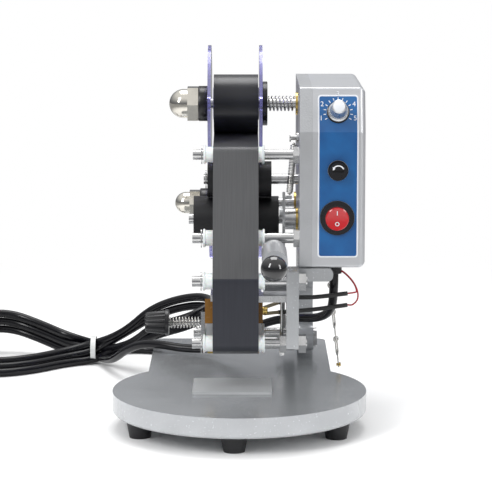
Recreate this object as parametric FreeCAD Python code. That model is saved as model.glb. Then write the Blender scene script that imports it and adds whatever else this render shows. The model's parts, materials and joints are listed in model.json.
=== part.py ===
"""Hand-operated hot-stamp ribbon date coder: a round table, a mechanism plate with two
ribbon reels, and a press frame that rocks down on a rear pivot. Millimetres, +Z up,
front towards -Y. Origin: middle of the machine's outline, on the surface it stands on."""
import FreeCAD
import Part
import math
import os

os.makedirs("parts", exist_ok=True)

# ---- driving sizes -------------------------------------------------------------------
table_r = 98.0            # round table
neck_half = 73.0          # half the width of the table's rear neck
neck_rear = 200.0         # rear edge of the neck, from the table's centre
table_thick = 16.0
foot_h = 13.0
side_x = 46.0             # left face of the mechanism plate
side_thick = 9.6
box_w = 40.4              # control box, left to right
box_y0 = -5.0             # front face of the box
box_depth = 147.0
box_z0 = 96.0             # underside of the box, above the table
box_h = 137.0
box_chamfer = 33.0        # the top front edge slants back over this height
wall = 1.6                # sheet wall of the box
ribbon_w = 35.0
ribbon_x0 = -20.3         # left edge of the ribbon
ribbon_t = 0.3
disc_r = 46.0
disc_t = 2.5
supply_roll_r = 23.0
takeup_roll_r = 15.0
reel_shaft_r = 4.0
supply_at = (75.0, 214.5)    # (y, z) of each axis, from the table's centre and top
takeup_at = (128.0, 128.0)
drum_at = (56.0, 125.0)
pinch_at = (50.0, 157.4)
drum_r = 18.0
pinch_r = 14.0
rod_r = 4.0
roller_r = 6.2
flange_r = 7.2
roller_at = {"guide_roller_1": (30.0, 179.0), "guide_roller_2": (4.0, 117.6),
             "press_roller_1": (-14.0, 87.0), "press_roller_2": (-15.0, 39.0),
             "press_roller_3": (28.0, 39.0)}
pivot_at = (125.0, 16.0)
pivot_r = 5.0
press_deg = 11.6          # travel of the press frame, rest to printing
press_x = 35.8            # left face of the press frame's cheek
press_thick = 9.4
pad_t = 2.0
head_y = 6.0              # centre of the type head
run_clear = 0.15          # running clearance between a bore and its shaft
gap = 0.3                 # gap between neighbouring pieces on different bodies
lead_d = 7.0              # mains lead

table_y = -(neck_rear - table_r) / 2     # the table's centre in the model's frame
top_z = foot_h + table_thick             # top of the table above the ground
made = {}


def at(x, y, z):
    """A point given from the table's centre and top face, in the model's frame."""
    return FreeCAD.Vector(x, y + table_y, z + top_z)


def box(x0, x1, y0, y1, z0, z1):
    return Part.makeBox(x1 - x0, y1 - y0, z1 - z0, at(x0, y0, z0))


def rod_x(x0, x1, yz, r):
    """A round bar along X."""
    return Part.makeCylinder(r, x1 - x0, at(x0, *yz), FreeCAD.Vector(1, 0, 0))


def tube_x(x0, x1, yz, r, bore):
    return rod_x(x0, x1, yz, r).cut(rod_x(x0 - 1, x1 + 1, yz, bore))


def post_z(x, y, z0, z1, r):
    return Part.makeCylinder(r, z1 - z0, at(x, y, z0))


def peg_y(x, z, y0, y1, r):
    """A round bar along Y."""
    return Part.makeCylinder(r, y1 - y0, at(x, y0, z), FreeCAD.Vector(0, 1, 0))


def prism(points, direction):
    """Closed polygon pushed along a vector."""
    return Part.Face(Part.makePolygon(points + points[:1])).extrude(FreeCAD.Vector(*direction))


def plate_yz(x0, x1, points):
    """A plate in the YZ plane, from its outline."""
    return prism([at(x0, y, z) for y, z in points], (x1 - x0, 0, 0))


def hex_x(x0, x1, yz, across):
    corner = across / math.sqrt(3)
    ring = [(yz[0] + corner * math.cos(math.radians(60 * k)),
             yz[1] + corner * math.sin(math.radians(60 * k))) for k in range(6)]
    return plate_yz(x0, x1, ring)


def fuse(shapes):
    whole = shapes[0].fuse(shapes[1:]) if len(shapes) > 1 else shapes[0]
    return whole.removeSplitter()


def rounded(shape, radius, wanted):
    """Fillets the edges for which wanted(edge) is true."""
    edges = [e for e in shape.Edges if wanted(e)]
    return shape.makeFillet(radius, edges) if edges else shape


def along(edge, axis):
    a, b = edge.Vertexes[0].Point, edge.Vertexes[-1].Point
    return (b - a).Length > 1e-6 and abs((b - a).normalize().dot(FreeCAD.Vector(*axis))) > 0.999


def node(name, *solids):
    """Writes one sub-part; several solids stay separate inside it."""
    shape = solids[0] if len(solids) == 1 else Part.makeCompound(list(solids))
    shape.exportStep(f"parts/{name}.step")
    made[name] = shape


# ---- table ---------------------------------------------------------------------------
def table():
    """The round plate and its neck, with screw holes for the feet and the column."""
    neck_r = 8.0
    disc = post_z(0, 0, -table_thick, 0, table_r)
    neck = rounded(box(-neck_half, neck_half, 0, neck_rear, -table_thick, 0), neck_r,
                   lambda e: along(e, (0, 0, 1)) and e.CenterOfMass.y > at(0, 100, 0).y)
    whole = fuse([disc, neck])
    whole = rounded(whole, 2.4, lambda e: e.BoundBox.ZMax < at(0, 0, -table_thick).z + 0.01)
    for x, y in feet_at:
        whole = whole.cut(post_z(x, y, -table_thick - 1, -6, foot_bore))
    for y in column_bolts:
        whole = whole.cut(post_z(column_x + column_w / 2, y, -table_thick - 1, 1, bolt_r))
        whole = whole.cut(post_z(column_x + column_w / 2, y, -table_thick - 1,
                                 bolt_head_h + 0.4 - table_thick, bolt_head_r + 0.4))
    return whole


feet_at = [(-3.7, -80.0), (-75.4, -36.0), (73.5, -39.0), (-55.0, 182.0), (55.0, 182.0)]
foot_bore = 2.0
column_x = 47.6
column_w = 13.0
column_y = (136.0, 176.0)
column_bolts = (146.0, 166.0)
bolt_r = 2.6
bolt_head_r = 4.6
bolt_head_h = 5.0

node("table_plate", table())


def foot(x, y):
    """Tapered rubber foot with a counterbore, and a stub that fills the plate's hole."""
    cone = Part.makeCone(8.0, 10.5, foot_h, at(x, y, -table_thick - foot_h))
    return fuse([cone, post_z(x, y, -table_thick - 0.5, -6.5, foot_bore)])


node("rubber_feet", *[foot(x, y) for x, y in feet_at])
pad_box = (-36.0, 25.0, -19.0, 31.0)
pad = rounded(box(*pad_box, 0, pad_t), 2.0, lambda e: along(e, (0, 0, 1)))
node("silicone_pad", pad)

# ---- column, mechanism plate and control box -----------------------------------------
box_y1 = box_y0 + box_depth
box_top = box_z0 + box_h
side_right = side_x + side_thick
box_right = side_right + box_w
slant = 12.0              # how far the top front edge slants back
side_profile = [(box_y0, box_z0), (box_y1, box_z0), (box_y1, box_top), (box_y0 + slant, box_top),
                (box_y0, box_top - box_chamfer)]


def inset(points, d):
    """The side profile moved inwards by d on every side."""
    (ya, za), (yb, _), (_, zc), (yd, _), (_, ze) = points
    lean = math.hypot(slant, box_chamfer)
    shift = d * (lean - slant) / box_chamfer
    return [(ya + d, za + d), (yb - d, za + d), (yb - d, zc - d),
            (yd + d * (lean - slant) / box_chamfer, zc - d), (ya + d, ze + shift - d)]


def column():
    """Rear post: a thick plate on the neck that carries the mechanism plate's underside."""
    post = box(column_x, column_x + column_w, *column_y, 0, box_z0)
    web = plate_yz(column_x, column_x + column_w,
                   [(column_y[0] - 26, box_z0), (column_y[0] - 26, box_z0 - 10),
                    (column_y[0] + 1, box_z0 - 42), (column_y[0] + 1, box_z0)])
    lug = rod_x(column_x, column_x + column_w, pivot_at, 11.0)
    ear = box(column_x, column_x + column_w, pivot_at[0], column_y[0] + 1, 5, 27)
    whole = fuse([post, web, lug, ear])
    whole = whole.cut(rod_x(column_x - 1, column_x + column_w + 1, pivot_at, pivot_r + run_clear))
    for y in column_bolts:
        whole = whole.cut(post_z(column_x + column_w / 2, y, -1, 12, bolt_r))
    for y in top_bolts:
        whole = whole.cut(post_z(side_x + side_thick / 2, y, box_z0 - 20, box_z0 + 1, top_bolt_r))
    return whole


top_bolts = (118.0, 133.0)
top_bolt_r = 1.9
axis_bores = [(supply_at, reel_shaft_r), (takeup_at, reel_shaft_r), (drum_at, rod_r),
              (pinch_at, rod_r), (roller_at["guide_roller_1"], rod_r),
              (roller_at["guide_roller_2"], rod_r)]
bush_r = 7.0
turning = (supply_at, takeup_at, drum_at)
plate_solid = plate_yz(side_x, side_right, side_profile)
plate_solid = rounded(plate_solid, 2.0, lambda e: along(e, (1, 0, 0)))
for axis, radius in axis_bores:
    bore = bush_r if axis in turning else radius
    plate_solid = plate_solid.cut(rod_x(side_x - 1, side_right + 1, axis, bore))
for y in top_bolts:
    plate_solid = plate_solid.cut(post_z(side_x + side_thick / 2, y, box_z0 - 1, box_z0 + 12, top_bolt_r))
stud_at = (41.0, 191.0)
plate_solid = plate_solid.cut(rod_x(side_x - 1, side_x + 6, stud_at, 2.0))
node("column", column())
node("mechanism_plate", plate_solid)

knob_at = (75.0, 214.5)   # (x, z) on the box's front
fuse_at = (75.0, 170.8)
switch_at = (74.5, 134.5)
knob_shaft_r = 3.0
fuse_hole_r = 6.2
switch_r = 10.2
slant_deg = math.degrees(math.atan2(slant, box_chamfer))
knob_z0 = box_top - box_chamfer
knob_y = box_y0 + slant * (knob_at[1] - knob_z0) / box_chamfer   # the slanted face, at the knob


def slanted(shape):
    """Turns a piece that faces -Y to stand square on the slanted panel at the knob."""
    return shape.rotate(at(knob_at[0], knob_y, knob_at[1]), FreeCAD.Vector(1, 0, 0), -slant_deg)


def knob_part(y0, y1, r):
    """A disc on the knob's axis; y is measured out of the panel (negative is outwards)."""
    return slanted(peg_y(knob_at[0], knob_at[1], knob_y + y0, knob_y + y1, r))


def cover():
    """Box cover: folded sheet with front, back, right side, top and bottom, open to the plate."""
    x0 = side_right + 0.05
    outer = plate_yz(x0, box_right, side_profile)
    outer = rounded(outer, 5.0, lambda e: e.BoundBox.XMin > box_right - 0.01)
    outer = rounded(outer, 2.0, lambda e: along(e, (1, 0, 0)))
    inner = plate_yz(x0 - 1, box_right - wall, inset(side_profile, wall))
    inner = rounded(inner, 5.0 - wall, lambda e: e.BoundBox.XMin > box_right - wall - 0.01)
    shell = outer.cut(inner)
    shell = shell.cut(peg_y(fuse_at[0], fuse_at[1], box_y0 - 1, box_y0 + wall + 1, fuse_hole_r))
    shell = shell.cut(peg_y(switch_at[0], switch_at[1], box_y0 - 1, box_y0 + wall + 1, switch_r))
    shell = shell.cut(knob_part(-2, wall + 3, knob_shaft_r + 1.2))
    return shell.cut(post_z(grommet_at[0], grommet_at[1], box_z0 - 1, box_z0 + wall + 1, grommet_neck))


grommet_at = (73.8, 30.0)
grommet_neck = 5.0
node("box_cover", cover())


fuse_ring_r = 7.6
bezel_r = 13.0

rocker_r = 9.0
rocker_pivot_y = box_y0 + 2.5


def switch_body():
    """Round snap-in switch: bezel ring outside, barrel inside, with a well for the rocker."""
    ring = peg_y(switch_at[0], switch_at[1], box_y0 - 2.2, box_y0 - 0.05, bezel_r)
    barrel = peg_y(switch_at[0], switch_at[1], box_y0 - 1, box_y0 + 22, switch_r - 0.1)
    well = peg_y(switch_at[0], switch_at[1], box_y0 - 5, box_y0 + 9, rocker_r + 0.9)
    return fuse([ring, barrel]).cut(well)


def fuse_socket():
    """Fuse holder: ring on the panel, barrel behind it, bored for the cap's carrier."""
    ring = peg_y(fuse_at[0], fuse_at[1], box_y0 - 1.6, box_y0 - 0.05, fuse_ring_r)
    barrel = peg_y(fuse_at[0], fuse_at[1], box_y0 - 1, box_y0 + 34, fuse_hole_r - 0.1)
    return fuse([ring, barrel]).cut(peg_y(fuse_at[0], fuse_at[1], box_y0 - 3, box_y0 + 30, 4.6))




def rocker():
    """Rocker button with a shallow hollow face, on a cross pin at half depth."""
    disc = peg_y(switch_at[0], switch_at[1], box_y0 - 3.4, box_y0 + 3.4, rocker_r)
    wide = rod_x(switch_at[0] - 20, switch_at[0] + 20, (box_y0 - 33.0, switch_at[1]), 31.0)
    rest = disc.cut(wide)
    return rest.rotate(at(switch_at[0], rocker_pivot_y, switch_at[1]), FreeCAD.Vector(1, 0, 0), 6)


node("rocker_button", rocker())
cap = fuse([peg_y(fuse_at[0], fuse_at[1], box_y0 - 6.5, box_y0 - 1.8, 6.6),
            peg_y(fuse_at[0], fuse_at[1], box_y0 - 2, box_y0 + 26, 4.4)])
cap = cap.cut(box(fuse_at[0] - 4, fuse_at[0] + 4, box_y0 - 7, box_y0 - 5.3, fuse_at[1] - 0.7, fuse_at[1] + 0.7))
node("fuse_cap", cap)


def knob():
    """Fluted knob: skirt, grip and a bore for the potentiometer's shaft."""
    skirt = knob_part(-4.0, -1.0, 7.8)
    grip = slanted(Part.makeCone(5.8, 7.0, 16.0, at(knob_at[0], knob_y - 19.0, knob_at[1]),
                                 FreeCAD.Vector(0, 1, 0)))
    return fuse([skirt, grip]).cut(knob_part(-14.0, 2.0, knob_shaft_r + 0.02))


node("temperature_knob", knob())


def control_board():
    """Circuit board on the plate with a transformer, relay, triac cooler and potentiometer."""
    x0 = side_right + 3.0
    board = box(x0, x0 + 1.6, box_y0 + 30, box_y1 - 15, box_z0 + 10, box_top - 50)
    bits = [board, box(x0 + 1, x0 + 22, box_y1 - 57, box_y1 - 22, box_z0 + 20, box_z0 + 60),
            box(x0 + 1, x0 + 15, box_y0 + 50, box_y0 + 66, box_z0 + 20, box_z0 + 40),
            box(x0 + 1, x0 + 12, box_y0 + 45, box_y0 + 80, box_z0 + 60, box_z0 + 78)]
    bits += [rod_x(x0 - 2.9, x0 + 1, (y, z), 2.5)
             for y in (box_y0 + 44, box_y1 - 20) for z in (box_z0 + 15, box_top - 66)]
    return fuse(bits)


node("control_board", control_board())
pot = fuse([knob_part(wall + 0.1, wall + 10, 8.0), knob_part(-12.0, wall + 2, knob_shaft_r)])
node("panel_components", switch_body(), fuse_socket(), pot)
grommet_h = 10.0
gland = fuse([post_z(*grommet_at, box_z0 - grommet_h, box_z0 - 0.05, 6.0),
              post_z(*grommet_at, box_z0 - 2, box_z0 + 6, grommet_neck - 0.05)])
node("cord_gland", gland)

# ---- shafts, rods and reels ----------------------------------------------------------
rod_tip = -36.0


def shaft_bush(axis):
    return fuse([tube_x(side_x, side_right, axis, bush_r - 0.02, rod_r + 0.05),
                 tube_x(side_x - 1.6, side_x, axis, bush_r + 2, rod_r + 0.05)])


node("shaft_bushes", *[shaft_bush(axis) for axis in turning])
fixed_rods = [rod_x(rod_tip, side_right + 2, roller_at[k], rod_r - 0.02)
              for k in ("guide_roller_1", "guide_roller_2")]
fixed_rods.append(rod_x(rod_tip + 8, side_right + 2, pinch_at, rod_r - 0.02))
node("frame_rods", *fixed_rods)


def screw_z(x, y, z0, z1, r, head_r, head_h):
    """A screw that points up, with its head below z0."""
    return fuse([post_z(x, y, z0 - head_h, z0, head_r), post_z(x, y, z0, z1, r)])


fasteners = [hex_x(side_x - 4.5, side_x - 0.05, roller_at[k], 13.0).cut(
    rod_x(side_x - 6, side_x + 1, roller_at[k], rod_r + 0.02)) for k in ("guide_roller_1", "guide_roller_2")]
fasteners += [screw_z(column_x + column_w / 2, y, bolt_head_h - table_thick, 11.5, bolt_r - 0.05,
                      bolt_head_r, bolt_head_h) for y in column_bolts]
fasteners += [fuse([rod_x(side_x - 7, side_x + 5.5, stud_at, 1.95), rod_x(side_x - 7, side_x - 6, stud_at, 3.4),
                    rod_x(side_x - 1.5, side_x - 0.05, stud_at, 4.0)])]
node("frame_fasteners", *fasteners)


def acorn(x, yz, across):
    """Acorn nut, open to the right: hexagon up to x, with a turned dome on its left."""
    y, z = yz
    r, collar, depth = across * 0.44, 11.6, 8.5
    tip = at(x - collar - r, y, z)
    shoulder, brow = at(x - collar, y, z + r), at(x - collar - r * 0.7071, y, z + r * 0.7071)
    outline = Part.Wire([Part.Arc(tip, brow, shoulder).toShape(),
                         Part.makeLine(shoulder, at(x - depth + 0.5, y, z + r)),
                         Part.makeLine(at(x - depth + 0.5, y, z + r), at(x - depth + 0.5, y, z)),
                         Part.makeLine(at(x - depth + 0.5, y, z), tip)])
    dome = Part.Face(outline).revolve(tip, FreeCAD.Vector(1, 0, 0), 360)
    dome = dome.Solids[0] if dome.Solids else Part.Solid(dome)
    whole = hex_x(x - depth, x, yz, across).fuse(dome)
    return whole.cut(rod_x(x - depth, x + 1, yz, reel_shaft_r + 0.02))


def reel(name, axis, roll_r, left_r, right_r, spring):
    """One reel on its turning shaft: nut, clamp washers, flanges, ribbon roll and spring."""
    bore = reel_shaft_r + 0.02
    flange_left = ribbon_x0 - 4.4
    flange_right = ribbon_x0 + ribbon_w + 0.8
    nut_x = flange_left - 7.9
    node(f"{name}_shaft", fuse([rod_x(nut_x - 7.5, side_right + 3, axis, reel_shaft_r),
                                rod_x(side_right + 0.1, side_right + 2.0, axis, 7.0)]))
    node(f"{name}_nut", acorn(nut_x, axis, 26.0 if name == "supply" else 20.0))
    node(f"{name}_flanges", *[tube_x(x, x + disc_t, axis, disc_r, bore) for x in (flange_left, flange_right)])
    node(f"{name}_washers", tube_x(nut_x + 0.1, flange_left - 0.1, axis, left_r, bore),
         tube_x(flange_right + disc_t + 0.1, flange_right + disc_t + 4.1, axis, right_r, bore))
    node(f"{name}_roll", tube_x(ribbon_x0, ribbon_x0 + ribbon_w, axis, roll_r, bore + 0.6))
    if spring:
        node(f"{name}_spring", tube_x(flange_right + disc_t + 4.3, side_x - 2.0, axis, 6.3, 4.9))


reel("supply", supply_at, supply_roll_r, 14.0, 17.5, True)
reel("takeup", takeup_at, takeup_roll_r, 12.0, 14.0, False)


def roller(axis):
    """Nylon guide roller with a flange at each end, bored to turn on its rod."""
    x0, x1, lip = ribbon_x0 - 7.5, ribbon_x0 + ribbon_w + 4.8, 1.8
    body = [rod_x(x0, x1, axis, roller_r), rod_x(x0, x0 + lip, axis, flange_r),
            rod_x(x1 - lip, x1, axis, flange_r)]
    return fuse(body).cut(rod_x(x0 - 1, x1 + 1, axis, rod_r + run_clear))


for name, axis in roller_at.items():
    node(name, roller(axis))

drum_x = (rod_tip, 30.8)
node("feed_drum", tube_x(drum_x[0], drum_x[1], drum_at, drum_r, rod_r + 0.02))
node("drum_shaft", fuse([rod_x(drum_x[0] - 4, side_right + 2.4, drum_at, rod_r),
                         rod_x(drum_x[1] + 5.2, side_x - 2.0, drum_at, 8.5)]))
node("pinch_roller", tube_x(-25.0, 25.0, pinch_at, pinch_r, rod_r + run_clear))

# ---- press frame ---------------------------------------------------------------------
press_right = press_x + press_thick
pivot_boss = 11.0
beam_h = 15.0


def press_frame():
    """Cheek plate, rear beam down to the pivot, and the arm that stops under the box."""
    px, pz = pivot_at
    cheek = plate_yz(press_x, press_right, [(-22.5, 36), (-4, 36), (34, 30), (34, 47), (8, 60), (4, 95.5), (-22.5, 95.5)])
    beam = plate_yz(press_x, press_right, [(20, 32), (px - 2, pz - 8), (px + 2, pz + 8), (20, 32 + beam_h)])
    boss = rod_x(press_x, press_right, pivot_at, pivot_boss)
    arm = rounded(box(press_right - 1, 71.8, -6.0, 3.0, 85.4, 95.5), 4.5,
                  lambda e: along(e, (0, 1, 0)) and e.CenterOfMass.x > 70)
    tail = box(press_x - 0.1, press_right, 30, 45, 29.5, 46)
    whole = fuse([cheek, beam, boss, arm, tail])
    for key in ("press_roller_1", "press_roller_2", "press_roller_3"):
        whole = whole.cut(rod_x(press_x - 1, press_right + 1, roller_at[key], rod_r))
    return whole.cut(rod_x(press_x - 1, press_right + 1, pivot_at, pivot_r))


node("press_frame", press_frame())
press_keys = ("press_roller_1", "press_roller_2", "press_roller_3")
pressed_rods = [rod_x(rod_tip, press_right + 6.5, roller_at[k], rod_r - 0.02) for k in press_keys[:2]]
pressed_rods += [rod_x(rod_tip, press_right, roller_at[press_keys[2]], rod_r - 0.02)]
pressed_rods.append(fuse([rod_x(press_x - 3, column_x + column_w + 2.5, pivot_at, pivot_r - 0.02),
                          rod_x(press_x - 5.5, press_x - 0.1, pivot_at, 8.0),
                          rod_x(column_x + column_w + 0.4, column_x + column_w + 3, pivot_at, 8.0)]))
node("press_rods", *pressed_rods)
nuts = []
for key in press_keys[:2]:
    nuts.append(hex_x(press_right + 0.05, press_right + 5.5, roller_at[key], 13.0).cut(
        rod_x(press_right - 1, press_right + 7, roller_at[key], rod_r)))
nuts.append(hex_x(press_x - 5, press_x - 0.05, roller_at[press_keys[1]], 13.0).cut(
    rod_x(press_x - 6, press_x + 1, roller_at[press_keys[1]], rod_r)))
node("press_nuts", *nuts)

bridge_z = 71.0
bridge = fuse([box(14.0, press_x - 0.05, -16, 2, bridge_z, bridge_z + 5),
               box(-22.0, 17.0, -12.2 + gap, 30, bridge_z, bridge_z + 5)])
bridge = bridge.cut(rod_x(rod_tip, 40, roller_at["press_roller_1"], flange_r + 1.2))
node("head_bridge", bridge)
bar_at = (26.5, 108.5)
lever = fuse([peg_y(bar_at[0], bar_at[1], -62, -8, 9.6),
              box(18.5, press_x - 0.1, -12, 2, bridge_z + 5.1, 104)])
lever = lever.cut(rod_x(10, 40, roller_at["press_roller_1"], flange_r + 1.0))
node("lever_bar", lever)
ball_r = 9.8
knob_ball = Part.makeSphere(ball_r, at(25.6, -78.5, 107.5))
node("lever_ball", knob_ball.cut(box(0, 60, -69.6, -60, 80, 130)).fuse(
    peg_y(25.6, 107.5, -71, -62.1, 4.0)).removeSplitter())

tilt = press_deg


def pressed_flat(shape):
    """A head piece is drawn level in the printing position, then turned back to rest."""
    return shape.rotate(at(0, *pivot_at), FreeCAD.Vector(1, 0, 0), -tilt)


def flat_y(y, z):
    """Where a rest point (y, z) lies in the printing position."""
    a = math.radians(tilt)
    dy, dz = y - pivot_at[0], z - pivot_at[1]
    return (pivot_at[0] + dy * math.cos(a) - dz * math.sin(a),
            pivot_at[1] + dy * math.sin(a) + dz * math.cos(a))


face_z = pad_t + 2 * ribbon_t + 0.2          # type face in the printing position
head_flat_y = flat_y(head_y, 27.0)[0]
head_x = (-26.5, 18.0)


def head_box(x0, x1, half, z0, z1):
    return pressed_flat(box(x0, x1, head_flat_y - half, head_flat_y + half, z0, z1))


node("type_holder", fuse([head_box(head_x[0] + 2, head_x[1] - 3, 9.0, face_z, face_z + 9),
                          head_box(head_x[0], head_x[1], 12.0, face_z + 8, face_z + 13.0)]))
node("heater_block", head_box(head_x[0] + 1, head_x[1] - 1, 12.0, face_z + 13.1, face_z + 23))
node("head_insulator", head_box(head_x[0], head_x[1], 13.0, face_z + 23.1, face_z + 42))
side_gap = 0.1
screw_axis = (head_flat_y, face_z + 24)
side_lug = head_box(head_x[0] - 3.2, head_x[0] - side_gap, 9.0, face_z + 4, face_z + 32)
screw_bore = pressed_flat(rod_x(head_x[0] - 5, head_x[0] + 1, screw_axis, 2.5 + run_clear))
node("thumb_screw_plate", side_lug.cut(screw_bore))
grip_x = -73.0
thumb = fuse([pressed_flat(rod_x(grip_x, head_x[0] - side_gap - 0.2, screw_axis, 2.5)),
              pressed_flat(Part.makeCone(8.2, 9.6, 15.0, at(grip_x + 1, *screw_axis), FreeCAD.Vector(1, 0, 0))),
              pressed_flat(rod_x(grip_x + 15.9, grip_x + 18.5, screw_axis, 10.2))])
node("thumb_screw", thumb)
node("thumb_spring", pressed_flat(tube_x(grip_x + 18.8, head_x[0] - 3.5, screw_axis, 4.6, 3.2)))

stop_x = 33.0 - 0.4
stop_at = (stop_x, 2.0)
node("stop_screw", fuse([post_z(*stop_at, 28.0, bridge_z - 0.1, 1.2), post_z(*stop_at, 26.4, 31.0, 1.9)]))
feed_x = 33.6
feed = plate_yz(feed_x, feed_x + 2.0, [(30.5, 29), (38, 29), (44, 100), (44, 148), (34, 148), (34, 100)])
feed = fuse([feed, rod_x(feed_x - 2.3, feed_x + 0.1, (39, 132), 4.2),
             rod_x(feed_x + 1.9, feed_x + 7.4, (41, 144), 1.4)])
node("feed_arm", feed.cut(rod_x(20, 50, roller_at["press_roller_3"], rod_r)))
hook_at = (feed_x + 5.6, 41.0, 146.0)


def bar_between(a, b, r):
    """A round bar from point a to point b, both from the table's centre and top."""
    start, end = at(*a), at(*b)
    return Part.makeCylinder(r, (end - start).Length, start, end - start)


node("return_spring", bar_between((side_x - 4.2, stud_at[0], stud_at[1] - 3.6), hook_at, 3.0))

# ---- ribbon --------------------------------------------------------------------------
ribbon_x1 = ribbon_x0 + ribbon_w


def strip(p, q):
    """Flat ribbon between two points of the YZ plane."""
    dy, dz = q[0] - p[0], q[1] - p[1]
    d = math.hypot(dy, dz)
    ny, nz = -dz / d * ribbon_t / 2, dy / d * ribbon_t / 2
    return plate_yz(ribbon_x0, ribbon_x1, [(p[0] + ny, p[1] + nz), (q[0] + ny, q[1] + nz),
                                           (q[0] - ny, q[1] - nz), (p[0] - ny, p[1] - nz)])


reach = roller_r + gap + ribbon_t / 2
g1, g2 = roller_at["guide_roller_1"], roller_at["guide_roller_2"]
p1, p2, p3 = (roller_at[k] for k in press_keys)
supply_run = strip((supply_at[0] - 19.0, supply_at[1] - 14.2), (g1[0] - 2.0, g1[1] + reach - 0.4))
takeup_run = strip((drum_at[0] + 4.0, drum_at[1] + drum_r + 0.6),
                   (takeup_at[0] - 2.0, takeup_at[1] + takeup_roll_r + 0.6))
node("ribbon_upper_runs", supply_run, takeup_run)
front_top = (g1[0] - reach, g1[1] - 1.0)
front_low = (p1[0] - reach, p1[1] + 1.0)
back_low = (p3[0] + reach, p3[1] + 1.0)
node("ribbon_front_span", strip(front_top, front_low))
p2_flat, p3_flat = flat_y(*p2), flat_y(*p3)
under = [(p2_flat[0] + 0.6, p2_flat[1] - reach), (head_flat_y - 9.5, face_z - 0.35),
         (head_flat_y + 9.5, face_z - 0.35), (p3_flat[0] - 0.6, p3_flat[1] - reach)]
lower = [strip((p1[0] - reach, p1[1]), (p2[0] - reach, p2[1] - 1))]
lower += [pressed_flat(fuse([strip(a, b) for a, b in zip(under, under[1:])]))]
node("ribbon_print_loop", *lower)
node("ribbon_back_span", strip(back_low, (drum_at[0] - drum_r - 3.2, drum_at[1] - 16.0)))

# ---- leads, chain and mains cord -----------------------------------------------------
def route(points, r, closed_report=None):
    """A round tube along straight runs joined by tangent arcs; prints each arc's radius."""
    pts = [at(*p) for p in points]
    edges, radii, start = [], [], pts[0]
    for a, b, c in zip(pts, pts[1:], pts[2:]):
        u, v = (b - a).normalize(), (c - b).normalize()
        turn = u.getAngle(v)
        cut = 0.45 * min((b - a).Length, (c - b).Length)
        radii.append(cut / math.tan(turn / 2))
        t0, t1 = b - u * cut, b + v * cut
        inward = (v - u).normalize()
        depth = radii[-1] * (1 / math.cos(turn / 2) - 1)
        edges.append(Part.LineSegment(start, t0).toShape())
        edges.append(Part.Arc(t0, b + inward * depth, t1).toShape())
        start = t1
    edges.append(Part.LineSegment(start, pts[-1]).toShape())
    wire = Part.Wire(edges)
    first = (pts[1] - pts[0]).normalize()
    ring = Part.Wire(Part.makeCircle(r, pts[0], first))
    tube = wire.makePipeShell([ring], True, False)
    want = math.pi * r * r * wire.Length
    name = closed_report or "route"
    print(f"{name}: length {wire.Length:.1f}, radii {[round(x, 1) for x in radii]}, "
          f"volume {tube.Volume / want:.4f} of section times length")
    return tube


lead_r = lead_d / 2
floor = lead_r - top_z + 0.1                 # centre of a cord that lies on the ground
lead_route = [(73.8, 30.0, 85.9), (73.8, 30.5, 68.0), (72.0, 46.0, 52.0), (62.0, 66.0, 43.0),
              (44.0, 84.0, 40.5), (20.0, 98.0, 34.0), (0.0, 112.0, 18.0), (-22.0, 126.0, 6.0),
              (-46.0, 134.0, 4.4), (-66.0, 142.0, 6.4), (-82.0, 152.0, 5.0), (-96.0, 168.0, -3.0),
              (-106.0, 187.0, -14.0), (-113.0, 204.0, -20.0)]
tail_route = [(-99.9, 276.0, floor), (-84.0, 275.5, floor), (-66.0, 266.0, floor), (-48.0, 262.0, floor),
              (-34.0, 262.0, floor)]
node("mains_lead", route(lead_route, lead_r, "mains_lead"))
node("mains_tail", route(tail_route, lead_r, "mains_tail"))


def hank():
    """Outer shape of the tied loops on the ground: a wedge, higher at the back."""
    wedge = plate_yz(-262.0, -79.0, [(150, -top_z), (318, -top_z), (318, 12), (296, 14), (215, 14), (150, -16)])
    plan = [(-262, 200), (-240, 164), (-205, 150), (-165, 162), (-135, 205), (-79, 216), (-79, 256),
            (-100, 272), (-100, 286), (-138, 290), (-175, 318), (-215, 318), (-248, 290), (-262, 245)]
    return wedge.common(prism([at(x, y, -top_z) for x, y in plan], (0, 0, 60)))


def loops():
    """Outer shape of the loops that rest on the neck."""
    side = plate_yz(-79.0, -24.0, [(128, 0.3), (216, 0.3), (216, 30), (190, 44), (128, 44)])
    plan = [(-79, 162), (-60, 152), (-40, 149), (-24, 156), (-24, 180), (-50, 205), (-79, 216)]
    return side.common(prism([at(x, y, 0) for x, y in plan], (0, 0, 60)))


node("cord_hank", hank())
node("cord_loops", loops())
plug = fuse([rod_x(-34.0, 4.0, (262.0, floor + 6.5), 9.6), rod_x(-34.0, -20.0, (262.0, floor + 1.0), 4.4)]
            + [rod_x(3.0, 22.0, (262.0 + s, floor + 6.5), 2.4) for s in (-9.5 + 2.4, 9.5 - 2.4)])
node("mains_plug", plug)


sleeve_r = 1.9
node("heater_leads",
     route([(head_x[1] + 1.4, 12.0, 62.0), (28.0, 17.0, 64.0), (42.0, 20.0, 68.0), (60.0, 19.0, 69.0),
            (84.0, 18.0, 72.0)], sleeve_r, "heater_lead_1"),
     route([(head_x[1] + 1.4, 7.0, 58.0), (28.0, 14.5, 57.5), (42.0, 20.0, 57.5), (60.0, 21.0, 59.0),
            (84.0, 20.0, 62.5)], sleeve_r, "heater_lead_2"))

chain_top = (70.0, 66.0, box_z0 - 0.1)
chain_foot = (79.5, 66.0, 4.0)
links = 9
steps = [tuple(chain_top[i] + (chain_foot[i] - chain_top[i]) * k / links for i in range(3))
         for k in range(links + 1)]
chain = [Part.makeTorus(2.6, 0.9, at(chain_top[0], chain_top[1], chain_top[2] - 4.0), FreeCAD.Vector(0, 1, 0))]
chain += [bar_between(a, b, 1.0) for a, b in zip(steps[1:], steps[2:])]
chain += [Part.makeSphere(1.9, at(*p)) for p in steps[1:]]
node("release_chain", fuse(chain))

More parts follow.
